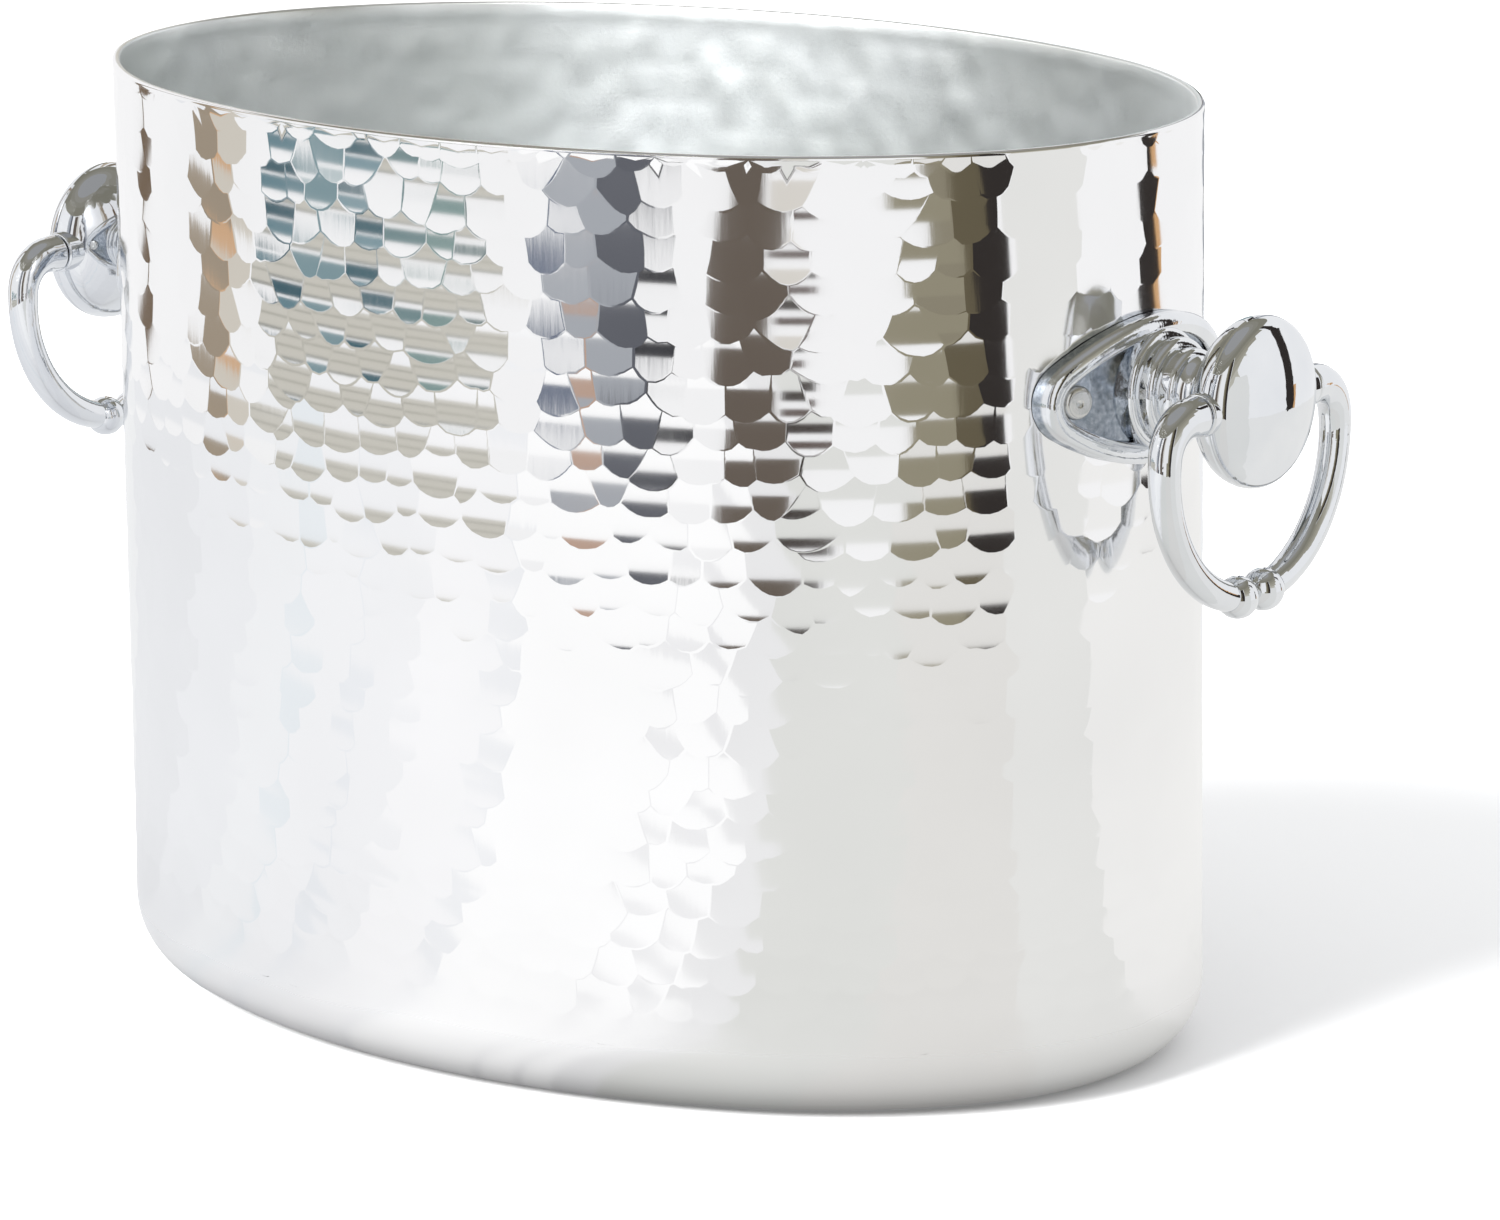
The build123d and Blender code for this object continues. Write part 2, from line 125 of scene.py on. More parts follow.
def outline(s, inset=0.0):
    """Points and outward normals, as x, y, nx and ny, at arc lengths s round the oval."""
    s = np.asarray(s, float) % PERIMETER
    quarter = np.minimum((s // QUARTER).astype(int), 3)
    rest = s - quarter * QUARTER
    rest = np.where(quarter % 2 == 1, QUARTER - rest, rest)
    x, y, nx, ny = (np.zeros_like(s) for _ in range(4))
    start = 0.0
    for (cx, cy, radius, a0, _), length in zip(ARCS, ARC_LENGTHS):
        here = rest >= start - 1e-9
        angle = math.radians(a0) + (rest - start) / radius
        ca, sa = np.cos(angle), np.sin(angle)
        x, y = np.where(here, cx + radius * ca, x), np.where(here, cy + radius * sa, y)
        nx, ny = np.where(here, ca, nx), np.where(here, sa, ny)
        start += length
    sx = np.where((quarter == 1) | (quarter == 2), -1.0, 1.0)
    sy = np.where(quarter >= 2, -1.0, 1.0)
    x, y, nx, ny = x * sx, y * sy, nx * sx, ny * sy
    return x - nx * inset, y - ny * inset, nx, ny


# ---- Hammer marks as a power diagram over arc length and height ----

COLUMN_PITCH = PERIMETER / MARK_COLUMNS
STRETCH_S = COLUMN_PITCH / MARK_ROW_PITCH  # marks are a little wider than tall
MARK_ROWS = range(-2, int((HEIGHT - MARK_LOW) / MARK_ROW_PITCH) + 4)
marks = {}
for row in MARK_ROWS:
    shift = 0.5 * (row % 2) + rng.uniform(-ROW_SLIP, ROW_SLIP)
    for column in range(MARK_COLUMNS):
        s = (column + shift + rng.gauss(0, MARK_JITTER)) * COLUMN_PITCH
        z = MARK_LOW + (row + 0.5 + rng.gauss(0, MARK_JITTER * JITTER_UP)) * MARK_ROW_PITCH
        marks[row, column] = (s, z, rng.uniform(-MARK_WEIGHT, MARK_WEIGHT))


def clip(polygon, a, b, c):
    """The part of a convex polygon where a * s + b * z <= c."""
    kept = []
    for i, p in enumerate(polygon):
        q = polygon[(i + 1) % len(polygon)]
        dp, dq = a * p[0] + b * p[1] - c, a * q[0] + b * q[1] - c
        if dp <= 0:
            kept.append(p)
        if (dp < 0 < dq) or (dq < 0 < dp):
            t = dp / (dp - dq)
            kept.append((p[0] + t * (q[0] - p[0]), p[1] + t * (q[1] - p[1])))
    return kept


def cell(row, column):
    """A mark's region, as points relative to the mark's centre with s squeezed by STRETCH_S."""
    s0, z0, w0 = marks[row, column]
    reach = 3 * MARK_ROW_PITCH
    polygon = [(-reach, -reach), (reach, -reach), (reach, reach), (-reach, reach)]
    for r in range(row - 2, row + 3):
        for c in range(column - 3, column + 4):
            if (r, c) == (row, column) or (r, c % MARK_COLUMNS) not in marks:
                continue
            s1, z1, w1 = marks[r, c % MARK_COLUMNS]
            s1 += (c // MARK_COLUMNS) * PERIMETER
            ds, dz = (s1 - s0) / STRETCH_S, z1 - z0
            polygon = clip(polygon, ds, dz, (ds * ds + dz * dz + w0 - w1) / 2)
            if len(polygon) < 3:
                return []
    top = HEIGHT - RIM_OUTER_ROUND
    polygon = clip(polygon, 0, 1, top - z0)
    return clip(polygon, 0, -1, z0 - MARK_LOW) if polygon else []


cells = {key: cell(*key) for key in marks}
cells = {key: polygon for key, polygon in cells.items() if len(polygon) >= 3}
ridge_top = max(
    (ds * ds + dz * dz - marks[key][2]) / (2 * MARK_CURVE)
    for key, polygon in cells.items() for ds, dz in polygon
)


def fade(z):
    """How much of the relief is there at height z, and its slope."""
    low = min(max((z - MARK_LOW) / MARK_LOW_FADE, 0.0), 1.0)
    high = min(max((HEIGHT - RIM_OUTER_ROUND - z) / MARK_HIGH_FADE, 0.0), 1.0)
    slope = 0.0
    if 0 < low < 1:
        slope = 6 * low * (1 - low) / MARK_LOW_FADE
    elif 0 < high < 1:
        slope = -6 * high * (1 - high) / MARK_HIGH_FADE
    smooth_low, smooth_high = low * low * (3 - 2 * low), high * high * (3 - 2 * high)
    return smooth_low * smooth_high, slope


# ---- Shell mesh ----

points = []  # x, y, z in millimetres
faces = []
face_normals = []  # a normal for each corner of each face, or None for the mesh's own
face_slots = []
OUTSIDE, INSIDE = 0, 1


def add_face(corners, normals=None, slot=OUTSIDE):
    faces.append(tuple(corners))
    face_normals.append(normals)
    face_slots.append(slot)


def add_ring(inset, z):
    """A ring of points round the oval; the index of its first point."""
    x, y, _, _ = outline(np.arange(RING_POINTS) * PERIMETER / RING_POINTS, inset)
    first = len(points)
    z = np.broadcast_to(np.asarray(z, float), x.shape)
    points.extend(zip(x.tolist(), y.tolist(), z.tolist()))
    return first


def join_rings(a, b):
    """Quads from ring a down the outside to ring b."""
    for i in range(RING_POINTS):
        j = (i + 1) % RING_POINTS
        add_face((a + i, b + i, b + j, a + j))


def arc_rows(centre_inset, centre_z, radius, start, end, steps):
    """Insets and heights along an arc; angles in degrees, 0 towards smaller inset and 90 up."""
    rows = []
    for k in range(steps + 1):
        a = math.radians(start + (end - start) * k / steps)
        rows.append((centre_inset - radius * math.cos(a), centre_z + radius * math.sin(a)))
    return rows


def base_rows(z):
    """Insets and heights across the base, from the flat margin at height z inwards."""
    return [(MARGIN_LOOP, z), (BASE_MARGIN, z),
            (BASE_MARGIN + BASE_RISE, z + BASE_RISE), (BASE_LOOP, z + BASE_RISE)]


point_of_key = {}
low_line, high_line = [], []


def wall_point(s, z, outward):
    """The index of a point on the hammered wall; neighbouring marks share their ridge's points."""
    s_round = s % PERIMETER
    key = (round(s_round, 2) % round(PERIMETER, 2), round(z, 2))
    if key not in point_of_key:
        x, y, nx, ny = (float(v) for v in outline(s_round))
        point_of_key[key] = len(points)
        points.append((x + nx * outward, y + ny * outward, z))
        if abs(z - MARK_LOW) < 1e-6:
            low_line.append((s_round, point_of_key[key]))
        elif abs(z - (HEIGHT - RIM_OUTER_ROUND)) < 1e-6:
            high_line.append((s_round, point_of_key[key]))
    return point_of_key[key]


def wall_corner(key, ds, dz, tilt=1.0):
    """Point index and normal at a place in a mark's region; tilt 0 is a ridge's rounded crest."""
    s0, z0, weight = marks[key]
    s, z = s0 + ds * STRETCH_S, z0 + dz
    height = (ds * ds + dz * dz - weight) / (2 * MARK_CURVE) - ridge_top
    amount, slope = fade(z)
    along = ds / (STRETCH_S * MARK_CURVE) * amount * tilt
    up = dz / MARK_CURVE * amount * tilt + height * slope
    _, _, nx, ny = (float(v) for v in outline(s))
    normal = Vector((nx + ny * along, ny - nx * along, -up)).normalized()
    return wall_point(s, z, height * amount), normal


for key, polygon in cells.items():
    border = []
    for i, p in enumerate(polygon):
        q = polygon[(i + 1) % len(polygon)]
        length = math.hypot(q[0] - p[0], q[1] - p[1])
        if length < SHORTEST_RIDGE:
            continue
        steps = max(1, round(length / SEGMENT))
        on_edge = abs(q[1] - p[1]) < 1e-6  # the top or the bottom of the hammered band
        # Each mark's lower ridges sag into a bowl, which the marks below it share.
        for k in range(steps):
            t = k / steps
            ds, dz = p[0] + t * (q[0] - p[0]), p[1] + t * (q[1] - p[1])
            if not on_edge:
                sag = SCALLOP * abs(q[0] - p[0]) * 4 * t * (1 - t)
                dz -= min(sag, SAG_LIMIT * (marks[key][1] + dz - MARK_LOW))
            border.append((ds, dz))
    if len(border) < 3:
        continue
    middle = (sum(p[0] for p in border) / len(border), sum(p[1] for p in border) / len(border))
    centre = wall_corner(key, *middle)
    brow = []
    for p in border:
        reach = math.hypot(p[0] - middle[0], p[1] - middle[1])
        share = max(LEAST_DISH, 1 - CREST / reach)
        ds, dz = (m + share * (c - m) for m, c in zip(middle, p))
        brow.append(wall_corner(key, ds, dz))
    crest = [wall_corner(key, *p, 0.0) for p in border]
    for i in range(len(border)):
        j = (i + 1) % len(border)
        for corners in ([centre, brow[i], brow[j]], [brow[i], crest[i], crest[j], brow[j]]):
            if len({c[0] for c in corners}) == len(corners):
                add_face([c[0] for c in corners], [c[1] for c in corners])


def zip_to_ring(line, ring, line_above):
    """Triangles between an uneven closed line of (s, index) and an even ring of points."""
    line = sorted(line)
    step = PERIMETER / RING_POINTS
    i = j = 0
    while i < len(line) or j < RING_POINTS:
        a, a_next = line[i % len(line)][1], line[(i + 1) % len(line)][1]
        b, b_next = ring + j % RING_POINTS, ring + (j + 1) % RING_POINTS
        s_a = line[(i + 1) % len(line)][0] + (PERIMETER if i + 1 >= len(line) else 0)
        s_b = (j + 1) * step
        if i < len(line) and (s_a <= s_b or j >= RING_POINTS):
            corners = (a, b, a_next)
            i += 1
        else:
            corners = (a, b, b_next)
            j += 1
        add_face(corners if line_above else corners[::-1])


# Outside: rim, then the foot, the margin that it stands on, and the pressed-up base.
rim_rows = arc_rows(RIM_OUTER_ROUND, HEIGHT - RIM_OUTER_ROUND, RIM_OUTER_ROUND, 90, 15, 4)
rim_rings = [add_ring(*row) for row in rim_rows]
for a, b in zip(rim_rings, rim_rings[1:]):
    join_rings(a, b)
zip_to_ring(high_line, rim_rings[-1], False)
foot_rows = arc_rows(FOOT_RADIUS, FOOT_RADIUS, FOOT_RADIUS, 0, -90, 12)
foot_rows += base_rows(0)
foot_rings = [add_ring(*row) for row in foot_rows]
zip_to_ring(low_line, foot_rings[0], True)
for a, b in zip(foot_rings, foot_rings[1:]):
    join_rings(a, b)
add_face(range(foot_rings[-1] + RING_POINTS - 1, foot_rings[-1] - 1, -1))

# Inside: rim, wall with broad marks, rounded corner and floor.
inner_pitch = PERIMETER / INNER_COLUMNS
inner_marks = [
    ((column + 0.5 * (row % 2) + rng.gauss(0, MARK_JITTER)) * inner_pitch,
     (row + rng.gauss(0, MARK_JITTER)) * INNER_ROW_PITCH)
    for row in range(int(HEIGHT / INNER_ROW_PITCH) + 2) for column in range(INNER_COLUMNS)
]
inner_mark_s, inner_mark_z = np.array(inner_marks).T


def inner_relief(z):
    """How far the inner wall is dished outwards round the oval at height z; negative is inwards."""
    s = np.arange(RING_POINTS) * PERIMETER / RING_POINTS
    near = np.abs(inner_mark_z - z) < 3 * INNER_ROW_PITCH
    ds = (s[:, None] - inner_mark_s[None, near] + PERIMETER / 2) % PERIMETER - PERIMETER / 2
    reach = (ds * INNER_ROW_PITCH / inner_pitch) ** 2 + (z - inner_mark_z[None, near]) ** 2
    return (INNER_DEPTH - reach.min(1) / (2 * INNER_CURVE)) * fade(z)[0]


inner_rows = [(WALL - RIM_INNER_ROUND + RIM_INNER_ROUND * math.sin(a),
               HEIGHT - RIM_INNER_ROUND + RIM_INNER_ROUND * math.cos(a))
              for a in (0.0, 0.5, 1.0, math.pi / 2)]  # radians from straight up
inner_top, inner_low = HEIGHT - RIM_INNER_ROUND, FOOT_RADIUS
inner_rows += [(WALL, inner_top + (inner_low - inner_top) * k / INNER_STEPS)
               for k in range(1, INNER_STEPS)]
inner_rows += arc_rows(FOOT_RADIUS, FOOT_RADIUS, FOOT_RADIUS - WALL, 0, -90, 8)
inner_rows += base_rows(WALL)
previous = rim_rings[0]
for inset, z in inner_rows:
    relief = inner_relief(z) if inset == WALL else 0.0
    ring = add_ring(inset - relief, z)
    for i in range(RING_POINTS):
        j = (i + 1) % RING_POINTS
        add_face((previous + i, previous + j, ring + j, ring + i), slot=INSIDE)
    previous = ring
add_face(range(previous, previous + RING_POINTS), slot=INSIDE)

mesh = bpy.data.meshes.new("hammered_shell")
mesh.from_pydata([(x * MM, y * MM, z * MM) for x, y, z in points], [], faces)
mesh.polygons.foreach_set("use_smooth", [True] * len(faces))
mesh.polygons.foreach_set("material_index", face_slots)
corner_normals = []
for corners, normals in zip(faces, face_normals):
    corner_normals.extend(normals if normals else [(0.0, 0.0, 0.0)] * len(corners))
mesh.update()
mesh.normals_split_custom_set([tuple(n) for n in corner_normals])
shell = bpy.data.objects.new("hammered_shell", mesh)
bpy.context.scene.collection.objects.link(shell)
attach(shell, "bucket")
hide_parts("bucket_shell")


# ---- Materials ----

CHROME_DARK, CHROME_LIGHT = (0.77, 0.79, 0.82), (0.83, 0.845, 0.865)


def new_material(name):
    """A material with its nodes, links, main shader and the mesh's own coordinates."""
    material = bpy.data.materials.new(name)
    material.use_nodes = True
    nodes, links = material.node_tree.nodes, material.node_tree.links
    shader = nodes["Principled BSDF"]
    coords = nodes.new("ShaderNodeTexCoord")
    return material, nodes, links, shader, coords


def noise(nodes, links, coords, scale, detail=3.0, squash=(1, 1, 1)):
    """Noise with about this many grains in a metre."""
    mapping = nodes.new("ShaderNodeMapping")
    mapping.inputs["Scale"].default_value = squash
    links.new(coords.outputs["Object"], mapping.inputs["Vector"])
    texture = nodes.new("ShaderNodeTexNoise")
    texture.inputs["Scale"].default_value = scale
    texture.inputs["Detail"].default_value = detail
    links.new(mapping.outputs["Vector"], texture.inputs["Vector"])
    return texture.outputs["Fac"]


def spread(nodes, links, value, low, high, from_low=0.3, from_high=0.7):
    """A value's usual range mapped to low..high."""
    node = nodes.new("ShaderNodeMapRange")
    node.inputs["From Min"].default_value = from_low
    node.inputs["From Max"].default_value = from_high
    node.inputs["To Min"].default_value = low
    node.inputs["To Max"].default_value = high
    links.new(value, node.inputs["Value"])
    return node.outputs["Result"]


def tint(nodes, links, value, dark, light):
    """A colour between two, by a value's usual range."""
    ramp = nodes.new("ShaderNodeValToRGB")
    ramp.color_ramp.elements[0].position = 0.3
    ramp.color_ramp.elements[0].color = (*dark, 1)
    ramp.color_ramp.elements[1].position = 0.7
    ramp.color_ramp.elements[1].color = (*light, 1)
    links.new(value, ramp.inputs["Fac"])
    return ramp.outputs["Color"]


def bump(nodes, links, shader, value, depth):
    """Relief of a depth in metres in the shading."""
    node = nodes.new("ShaderNodeBump")
    node.inputs["Strength"].default_value = 1.0
    node.inputs["Distance"].default_value = depth
    links.new(value, node.inputs["Height"])
    links.new(node.outputs["Normal"], shader.inputs["Normal"])


def polished_outside():
    """Bright hammered aluminium, dulling to satin round the foot."""
    material, nodes, links, shader, coords = new_material("hammered_outside")
    shader.inputs["Metallic"].default_value = 1.0
    brushed = noise(nodes, links, coords, 420, squash=(1, 1, 0.1))
    clouds = noise(nodes, links, coords, 14)
    metal = tint(nodes, links, clouds, (0.90, 0.90, 0.905), (0.945, 0.945, 0.95))
    links.new(metal, shader.inputs["Base Color"])
    split = nodes.new("ShaderNodeSeparateXYZ")
    links.new(coords.outputs["Object"], split.inputs["Vector"])
    foot = spread(nodes, links, split.outputs["Z"], 0.30, 0.0, 0.012, 0.034)
    gloss = spread(nodes, links, clouds, 0.035, 0.085)
    total = nodes.new("ShaderNodeMath")
    total.operation = "ADD"
    links.new(foot, total.inputs[0])
    links.new(gloss, total.inputs[1])
    links.new(total.outputs[0], shader.inputs["Roughness"])
    bump(nodes, links, shader, brushed, 0.000004)
    return material


def satin_inside():
    """Satin aluminium with a fine grain."""
    material, nodes, links, shader, coords = new_material("satin_inside")
    shader.inputs["Metallic"].default_value = 1.0
    clouds = noise(nodes, links, coords, 22, 4)
    metal = tint(nodes, links, clouds, (0.82, 0.84, 0.833), (0.86, 0.88, 0.89))
    links.new(metal, shader.inputs["Base Color"])
    links.new(spread(nodes, links, clouds, 0.30, 0.34), shader.inputs["Roughness"])
    bump(nodes, links, shader, noise(nodes, links, coords, 900, 4), 0.00003)
    return material


def plated(name, dark, light, rough_low, rough_high, grain_scale, grain_depth):
    """Bright plate over a casting: faint waviness under the gloss."""
    material, nodes, links, shader, coords = new_material(name)
    shader.inputs["Metallic"].default_value = 1.0
    clouds = noise(nodes, links, coords, 60)
    grain = noise(nodes, links, coords, grain_scale)
    links.new(tint(nodes, links, clouds, dark, light), shader.inputs["Base Color"])
    links.new(spread(nodes, links, clouds, rough_low, rough_high), shader.inputs["Roughness"])
    bump(nodes, links, shader, grain, grain_depth)
    return material


def cast_plate():
    """Bright plate with a grained field inside the backplate's border; the field's darker steel-blue
    colour is a painted reflection.
    """
    material, nodes, links, shader, coords = new_material("cast_chrome")
    shader.inputs["Metallic"].default_value = 1.0
    split = nodes.new("ShaderNodeSeparateXYZ")
    links.new(coords.outputs["Object"], split.inputs["Vector"])
    # Distance from the vertical axis of the nearer end arc tells the field from the border.
    far_x = nodes.new("ShaderNodeMath")
    far_x.operation = "ABSOLUTE"
    links.new(split.outputs["X"], far_x.inputs[0])
    from_axis = nodes.new("ShaderNodeMath")
    from_axis.operation = "SUBTRACT"
    from_axis.inputs[1].default_value = (HALF_LENGTH - END_RADIUS) * MM
    links.new(far_x.outputs[0], from_axis.inputs[0])
    flat = nodes.new("ShaderNodeCombineXYZ")
    links.new(from_axis.outputs[0], flat.inputs["X"])
    links.new(split.outputs["Y"], flat.inputs["Y"])
    reach = nodes.new("ShaderNodeVectorMath")
    reach.operation = "LENGTH"
    links.new(flat.outputs["Vector"], reach.inputs[0])
    field_edge, border_edge = FIELD_REACH * MM, (FIELD_REACH + FIELD_BLEND) * MM
    border = spread(nodes, links, reach.outputs["Value"], 0.0, 1.0, field_edge, border_edge)
    clouds = noise(nodes, links, coords, 60)
    grain = noise(nodes, links, coords, 700)
    # The field's darker steel-blue colour is a painted reflection of dark, bluish surroundings; only its
    # grain is the casting's own.
    field_painted_reflection = tint(nodes, links, grain, (0.26, 0.30, 0.35), (0.52, 0.56, 0.62))
    border_tint = tint(nodes, links, clouds, CHROME_DARK, CHROME_LIGHT)
    mix = nodes.new("ShaderNodeMix")
    mix.data_type = "RGBA"  # which makes inputs 6 and 7 and output 2 the ones in use
    links.new(border, mix.inputs["Factor"])
    links.new(field_painted_reflection, mix.inputs[6])
    links.new(border_tint, mix.inputs[7])
    links.new(mix.outputs[2], shader.inputs["Base Color"])
    links.new(spread(nodes, links, border, 0.16, 0.03, 0.0, 1.0), shader.inputs["Roughness"])
    bump(nodes, links, shader, grain, 0.00005)
    return material


mesh.materials.append(polished_outside())
mesh.materials.append(satin_inside())
chrome = plated("chrome_plate", CHROME_DARK, CHROME_LIGHT, 0.015, 0.045, 140, 0.00004)
cast_chrome = cast_plate()
rivet_metal = plated("rivet_satin", (0.60, 0.60, 0.59), (0.72, 0.72, 0.71), 0.14, 0.22, 1600, 0.00002)
turned_steel = plated("turned_steel", (0.50, 0.50, 0.51), (0.62, 0.62, 0.63), 0.18, 0.30, 1200, 0.00002)
for node_name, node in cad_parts.items():
    if node_name == "bucket_shell":
        continue
    finish = chrome
    if node_name.endswith("backplate"):
        finish = cast_chrome
    elif node_name.endswith("rivet"):
        finish = rivet_metal
    elif node_name.endswith("pin") or node_name.endswith("screw"):
        finish = turned_steel
    for index in range(len(node.material_slots)):
        node.material_slots[index].material = finish
    if not node.material_slots:
        node.data.materials.append(finish)


# ---- Floor, and the room that only reflections see ----

FLOOR_HALF = 9.0
ROOM_RADIUS = 0.92
ROOM_HEIGHT = 2.2
ROOM_SEGMENTS = 720
WHITE_WALL = (0.965, 0.965, 0.97)
# Things in the room: middle and width in degrees round Z, low and high edge in metres, colour.
# A later one hides an earlier one.
ROOM_THINGS = [
    (-127, 42, 0.0, 0.058, (0.62, 0.60, 0.54)),
    (-127, 42, 0.011, 0.014, (0.36, 0.35, 0.31)),
    (-127, 42, 0.030, 0.034, (0.42, 0.41, 0.36)),
    (-127, 42, 0.052, 0.058, (0.33, 0.33, 0.30)),
    (178, 4, 0.0, 1.2, (0.17, 0.12, 0.08)),
    (-160, 4.5, 0.0, 1.0, (0.36, 0.30, 0.23)),
    (-157.3, 1.2, 0.0, 0.5, (0.66, 0.42, 0.25)),
    (-155, 3.5, 0.0, 1.0, (0.66, 0.62, 0.55)),
    (-144, 5, 0.062, 0.085, (0.06, 0.12, 0.15)),
    (-144, 5, 0.09, 0.115, (0.14, 0.24, 0.28)),
    (-136, 6, 0.066, 0.12, (0.22, 0.32, 0.35)),
    (-136, 6, 0.13, 0.16, (0.45, 0.54, 0.56)),
    (-128, 5, 0.062, 0.09, (0.07, 0.14, 0.17)),
    (-128, 5, 0.095, 0.12, (0.20, 0.31, 0.35)),
    (-121, 4, 0.07, 0.1, (0.16, 0.25, 0.26)),
    (-115, 5, 0.066, 0.1, (0.22, 0.32, 0.31)),
    (-110, 3, 0.075, 0.1, (0.14, 0.20, 0.20)),
    (-97.8, 1.4, 0.0, 1.0, (0.09, 0.12, 0.19)),
    (-92.5, 7, 0.0, 1.0, (0.40, 0.42, 0.455)),
    (-93, 3, 0.0, 0.05, (0.52, 0.36, 0.28)),
    (-86, 5.5, 0.0, 1.0, (0.12, 0.125, 0.145)),
    (-82, 3, 0.0, 0.04, (0.04, 0.04, 0.045)),
    (-66.5, 13, 0.0, 0.9, (0.14, 0.115, 0.095)),
    (-56, 7, 0.0, 0.028, (0.05, 0.04, 0.035)),
    (-56, 7, 0.05, 0.07, (0.10, 0.07, 0.06)),
    (-57, 5, 0.1, 0.9, (0.72, 0.69, 0.64)),
    (-30, 14, 0.0, 0.09, (0.30, 0.275, 0.20)),
    (-27, 8, 0.09, 2.0, (0.27, 0.245, 0.18)),
    (-22.5, 5, 0.0, 2.0, (0.13, 0.11, 0.07)),
    (-16.5, 8, 0.0, 2.0, (0.035, 0.03, 0.028)),
    (107, 5, 0.0, 1.0, (0.34, 0.36, 0.40)),
    (112, 2.5, 0.0, 0.9, (0.06, 0.06, 0.065)),
    (122, 9, 0.055, 0.5, (0.30, 0.38, 0.40)),
    (122, 15, 0.0, 0.05, (0.60, 0.58, 0.53)),
    (134, 6, 0.0, 0.9, (0.26, 0.22, 0.17)),
    (141, 3, 0.0, 0.9, (0.52, 0.45, 0.36)),
    (2, 26, 0.0, 0.3, (0.83, 0.83, 0.81)),
    (0, 22, 0.30, 0.42, (0.55, 0.53, 0.46)),
    (4, 30, 0.42, 0.56, (0.42, 0.40, 0.33)),
    (9, 40, 0.56, 0.72, (0.36, 0.34, 0.275)),
    (15, 52, 0.72, 0.92, (0.30, 0.285, 0.23)),
    (0, 360, 0.92, 1.3, (0.25, 0.24, 0.195)),
    (0, 360, 1.3, 1.7, (0.28, 0.27, 0.23)),
    (0, 360, 1.7, 2.2, (0.31, 0.30, 0.265)),
    (47.5, 7.6, 0.0, 0.92, (0.035, 0.03, 0.028)),
    (52.5, 1.5, 0.0, 0.12, (0.65, 0.38, 0.18)),
]
# The table's shade in reflections: up to this many degrees round Z, from -180.
TABLE_SHADES = [
    (-165, (0.86, 0.87, 0.89)), (-150, (0.90, 0.91, 0.93)), (-141, (0.93, 0.94, 0.955)),
    (-138, (0.86, 0.90, 0.93)), (-129, (0.95, 0.955, 0.97)), (-127, (0.88, 0.90, 0.93)),
    (-118, (0.95, 0.955, 0.97)), (-105, (1.0, 1.0, 1.01)), (-103, (0.93, 0.94, 0.96)),
    (-80, (1.06, 1.06, 1.06)), (-78.5, (0.92, 0.92, 0.93)), (-73, (1.07, 1.07, 1.07)),
    (-71.5, (0.90, 0.90, 0.91)), (-67, (1.06, 1.06, 1.06)), (-60, (0.88, 0.88, 0.885)),
    (-36, (0.78, 0.785, 0.76)), (-12, (0.80, 0.79, 0.765)), (15, (0.83, 0.83, 0.81)),
    (95, (0.91, 0.905, 0.89)), (165, (0.90, 0.91, 0.92)), (180, (0.86, 0.87, 0.89)),
]
TABLE_HEIGHT = 0.0004  # in metres, clear of the floor
# Distances in metres out from the shell's outline: rings of the table, and the light left at some.
TABLE_RINGS = [-0.05, -0.03, -0.016, -0.012, -0.009, -0.006, -0.003, 0.0, 0.003, 0.006, 0.01, 0.015,
               0.02, 0.03, 0.045, 0.06, 0.08, 0.11, 0.15, 0.2, 0.3, 0.45]
TABLE_SHADOW = [(-0.05, 0.2), (-0.012, 0.3), (-0.006, 0.52), (0.0, 0.74), (0.01, 0.84), (0.03, 0.92),
                (0.1, 0.98), (0.2, 1.0)]


def table_shade(x, y):
    """The table's colour in the direction of x, y."""
    degrees = math.degrees(math.atan2(y, x))
    return next(shade for limit, shade in TABLE_SHADES if degrees <= limit)


def room_colour(degrees, z):
    """What the room shows at an angle round Z and a height."""
    colour = WHITE_WALL
    for middle, width, low, high, paint in ROOM_THINGS:
        off = abs((degrees - middle + 180) % 360 - 180)
        if off <= width / 2 and low <= z <= high:
            colour = paint
    return colour


def make_floor():
    """The pale floor, which reflections don't see: they see the table instead."""
    floor_mesh = bpy.data.meshes.new("floor")
    h = FLOOR_HALF
    floor_mesh.from_pydata([(-h, -h, 0), (h, -h, 0), (h, h, 0), (-h, h, 0)], [], [(0, 1, 2, 3)])
    floor = bpy.data.objects.new("floor", floor_mesh)
    bpy.context.scene.collection.objects.link(floor)
    material, nodes, links, shader, coords = new_material("pale_floor")
    clouds = noise(nodes, links, coords, 3, 2)
    pale = tint(nodes, links, clouds, (0.90, 0.90, 0.905), (0.92, 0.92, 0.92))
    links.new(pale, shader.inputs["Base Color"])
    shader.inputs["Roughness"].default_value = 0.9
    shader.inputs["Specular IOR Level"].default_value = 0.1
    floor_mesh.materials.append(material)
    floor.visible_glossy = False
    return floor


def glow_material():
    """Shines with the colours stored on the mesh."""
    material = bpy.data.materials.new("glow")
    material.use_nodes = True
    nodes, links = material.node_tree.nodes, material.node_tree.links
    nodes.clear()
    paint = nodes.new("ShaderNodeAttribute")
    paint.attribute_name = "glow"
    emission = nodes.new("ShaderNodeEmission")
    output = nodes.new("ShaderNodeOutputMaterial")
    links.new(paint.outputs["Color"], emission.inputs["Color"])
    links.new(emission.outputs[0], output.inputs["Surface"])
    return material


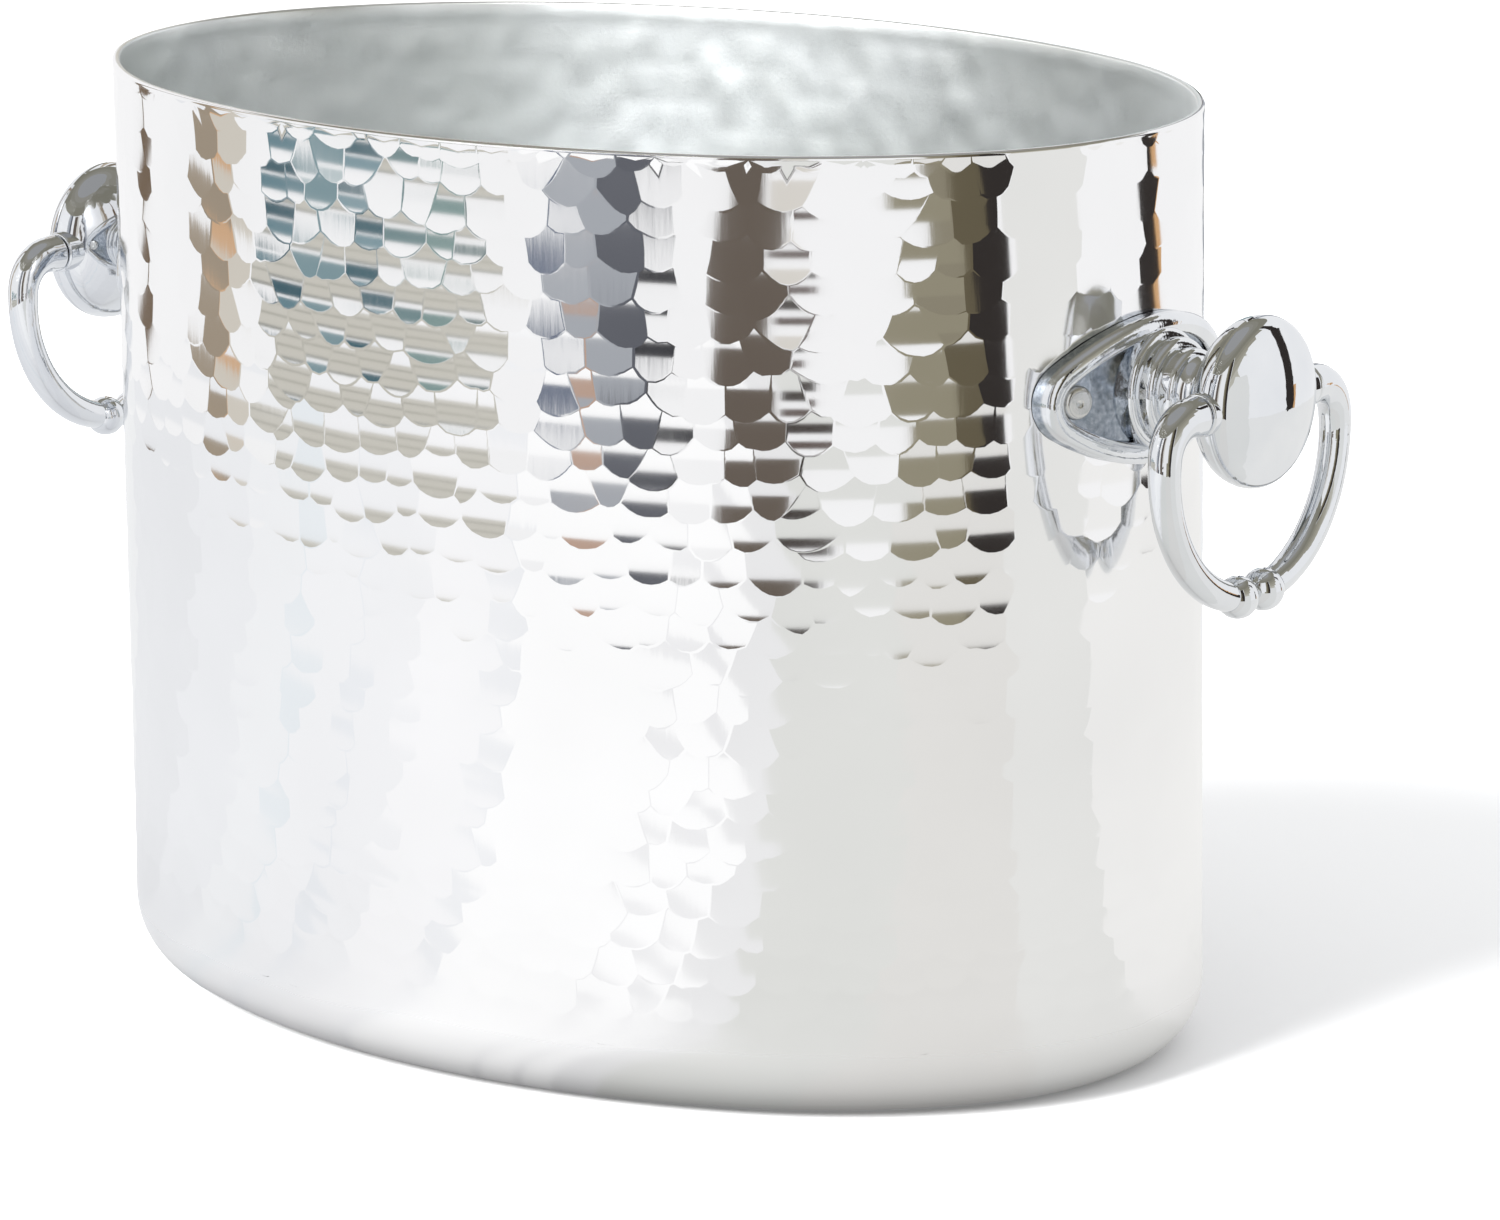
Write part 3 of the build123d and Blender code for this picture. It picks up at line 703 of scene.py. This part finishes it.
def make_glowing(name, verts, quads, colours):
    """A mesh that only reflections see, with one colour for each face."""
    glow_mesh = bpy.data.meshes.new(name)
    glow_mesh.from_pydata(verts, [], quads)
    glow = glow_mesh.attributes.new("glow", "FLOAT_COLOR", "CORNER")
    for face, colour in enumerate(colours):
        for corner in range(4):
            glow.data[4 * face + corner].color = (*colour, 1)
    glow_mesh.materials.append(glow_material())
    thing = bpy.data.objects.new(name, glow_mesh)
    bpy.context.scene.collection.objects.link(thing)
    thing.visible_camera = False
    thing.visible_diffuse = False
    thing.visible_transmission = False
    thing.visible_volume_scatter = False
    thing.visible_shadow = False
    return thing


def make_table():
    """The table as reflections see it: shaded round the foot and darker to one side."""
    n = ROOM_SEGMENTS
    s = np.arange(n) * PERIMETER / n
    rings = [outline(s, -d / MM)[:2] for d in TABLE_RINGS]
    # The last ring is the room's foot, well past the shadow.
    distances = [*TABLE_RINGS, ROOM_RADIUS]
    x, y = rings[-1]
    reach = ROOM_RADIUS / (np.hypot(x, y) * MM)
    rings.append((x * reach, y * reach))
    verts = [(px * MM, py * MM, TABLE_HEIGHT) for x, y in rings for px, py in zip(x.tolist(), y.tolist())]
    quads, colours = [], []
    known, left = zip(*TABLE_SHADOW)
    for k in range(len(rings) - 1):
        light = float(np.interp((distances[k] + distances[k + 1]) / 2, known, left))
        for i in range(n):
            j = (i + 1) % n
            quads.append((k * n + i, (k + 1) * n + i, (k + 1) * n + j, k * n + j))
            px, py, _ = verts[(k + 1) * n + i]
            colours.append([light * c for c in table_shade(px, py)])
    return make_glowing("table_reflection", verts, quads, colours)


def make_room():
    """A round wall of plain colours round the bucket."""
    edges = sorted({0.0, ROOM_HEIGHT} | {z for thing in ROOM_THINGS for z in thing[2:4]})
    n = ROOM_SEGMENTS
    verts, quads, colours = [], [], []
    for k, z in enumerate(edges):
        for i in range(n):
            a = 2 * math.pi * i / n
            verts.append((ROOM_RADIUS * math.cos(a), ROOM_RADIUS * math.sin(a), z))
            if k + 1 < len(edges):
                j = (i + 1) % n
                quads.append((k * n + i, k * n + j, (k + 1) * n + j, (k + 1) * n + i))
                colours.append(room_colour(360 * (i + 0.5) / n, (z + edges[k + 1]) / 2))
    return make_glowing("room_reflection", verts, quads, colours)


make_floor()
make_table()
make_room()


# ---- Light ----

KEY_PLACE = Vector((-0.6, -2.0, 1.7))
KEY_AIM = Vector((0, 0.05, 0.22))
KEY_SIZE = 1.7
KEY_POWER = 240
KEY_DIFFUSE = 0.08  # it shines mostly in the metal, and throws a faint shadow on the floor
SKY_COLOUR = (0.985, 0.992, 1.0, 1)
SKY_STRENGTH = 1.05
SKY_IN_METAL = 0.36

key_data = bpy.data.lights.new("key", "AREA")
key_data.shape = "RECTANGLE"
key_data.size = key_data.size_y = KEY_SIZE
key_data.energy = KEY_POWER
key_data.diffuse_factor = KEY_DIFFUSE
key_light = bpy.data.objects.new("key", key_data)
key_light.location = KEY_PLACE
key_light.rotation_euler = (KEY_AIM - KEY_PLACE).to_track_quat("-Z", "Y").to_euler()
bpy.context.scene.collection.objects.link(key_light)

world = bpy.data.worlds.new("studio")
world.use_nodes = True
background = world.node_tree.nodes["Background"]
background.inputs["Color"].default_value = SKY_COLOUR
# Reflections see a dimmer sky than the one that lights the floor.
ray = world.node_tree.nodes.new("ShaderNodeLightPath")
dim = world.node_tree.nodes.new("ShaderNodeMapRange")
dim.inputs["To Min"].default_value = SKY_STRENGTH
dim.inputs["To Max"].default_value = SKY_IN_METAL
world.node_tree.links.new(ray.outputs["Is Glossy Ray"], dim.inputs["Value"])
world.node_tree.links.new(dim.outputs["Result"], background.inputs["Strength"])
bpy.context.scene.world = world
bpy.context.scene.view_settings.view_transform = "Standard"
bpy.context.scene.view_settings.look = "None"

# ---- Camera ----

CAMERA_PLACE = Vector((1.2597, -1.53946, 0.57076))
CAMERA_TURN = 0.6725  # radians about Z, from looking along +Y
CAMERA_DIP = 0.2295  # radians below the horizon
CAMERA_ROLL = -0.0108
CAMERA_LENS = 179.86

look = Vector((-math.sin(CAMERA_TURN) * math.cos(CAMERA_DIP), math.cos(CAMERA_TURN) * math.cos(CAMERA_DIP),
               -math.sin(CAMERA_DIP)))
level = Vector((math.cos(CAMERA_TURN), math.sin(CAMERA_TURN), 0))
upward = level.cross(look)
side = level * math.cos(CAMERA_ROLL) + upward * math.sin(CAMERA_ROLL)
upward = upward * math.cos(CAMERA_ROLL) - level * math.sin(CAMERA_ROLL)
camera_data = bpy.data.cameras.new("camera")
camera_data.sensor_width = 36.0
camera_data.lens = CAMERA_LENS
camera_data.clip_start = 0.05
camera_data.clip_end = 50.0
camera = bpy.data.objects.new("camera", camera_data)
camera.matrix_world = Matrix((
    (side.x, upward.x, -look.x, CAMERA_PLACE.x),
    (side.y, upward.y, -look.y, CAMERA_PLACE.y),
    (side.z, upward.z, -look.z, CAMERA_PLACE.z),
    (0, 0, 0, 1),
))
bpy.context.scene.collection.objects.link(camera)
bpy.context.scene.camera = camera
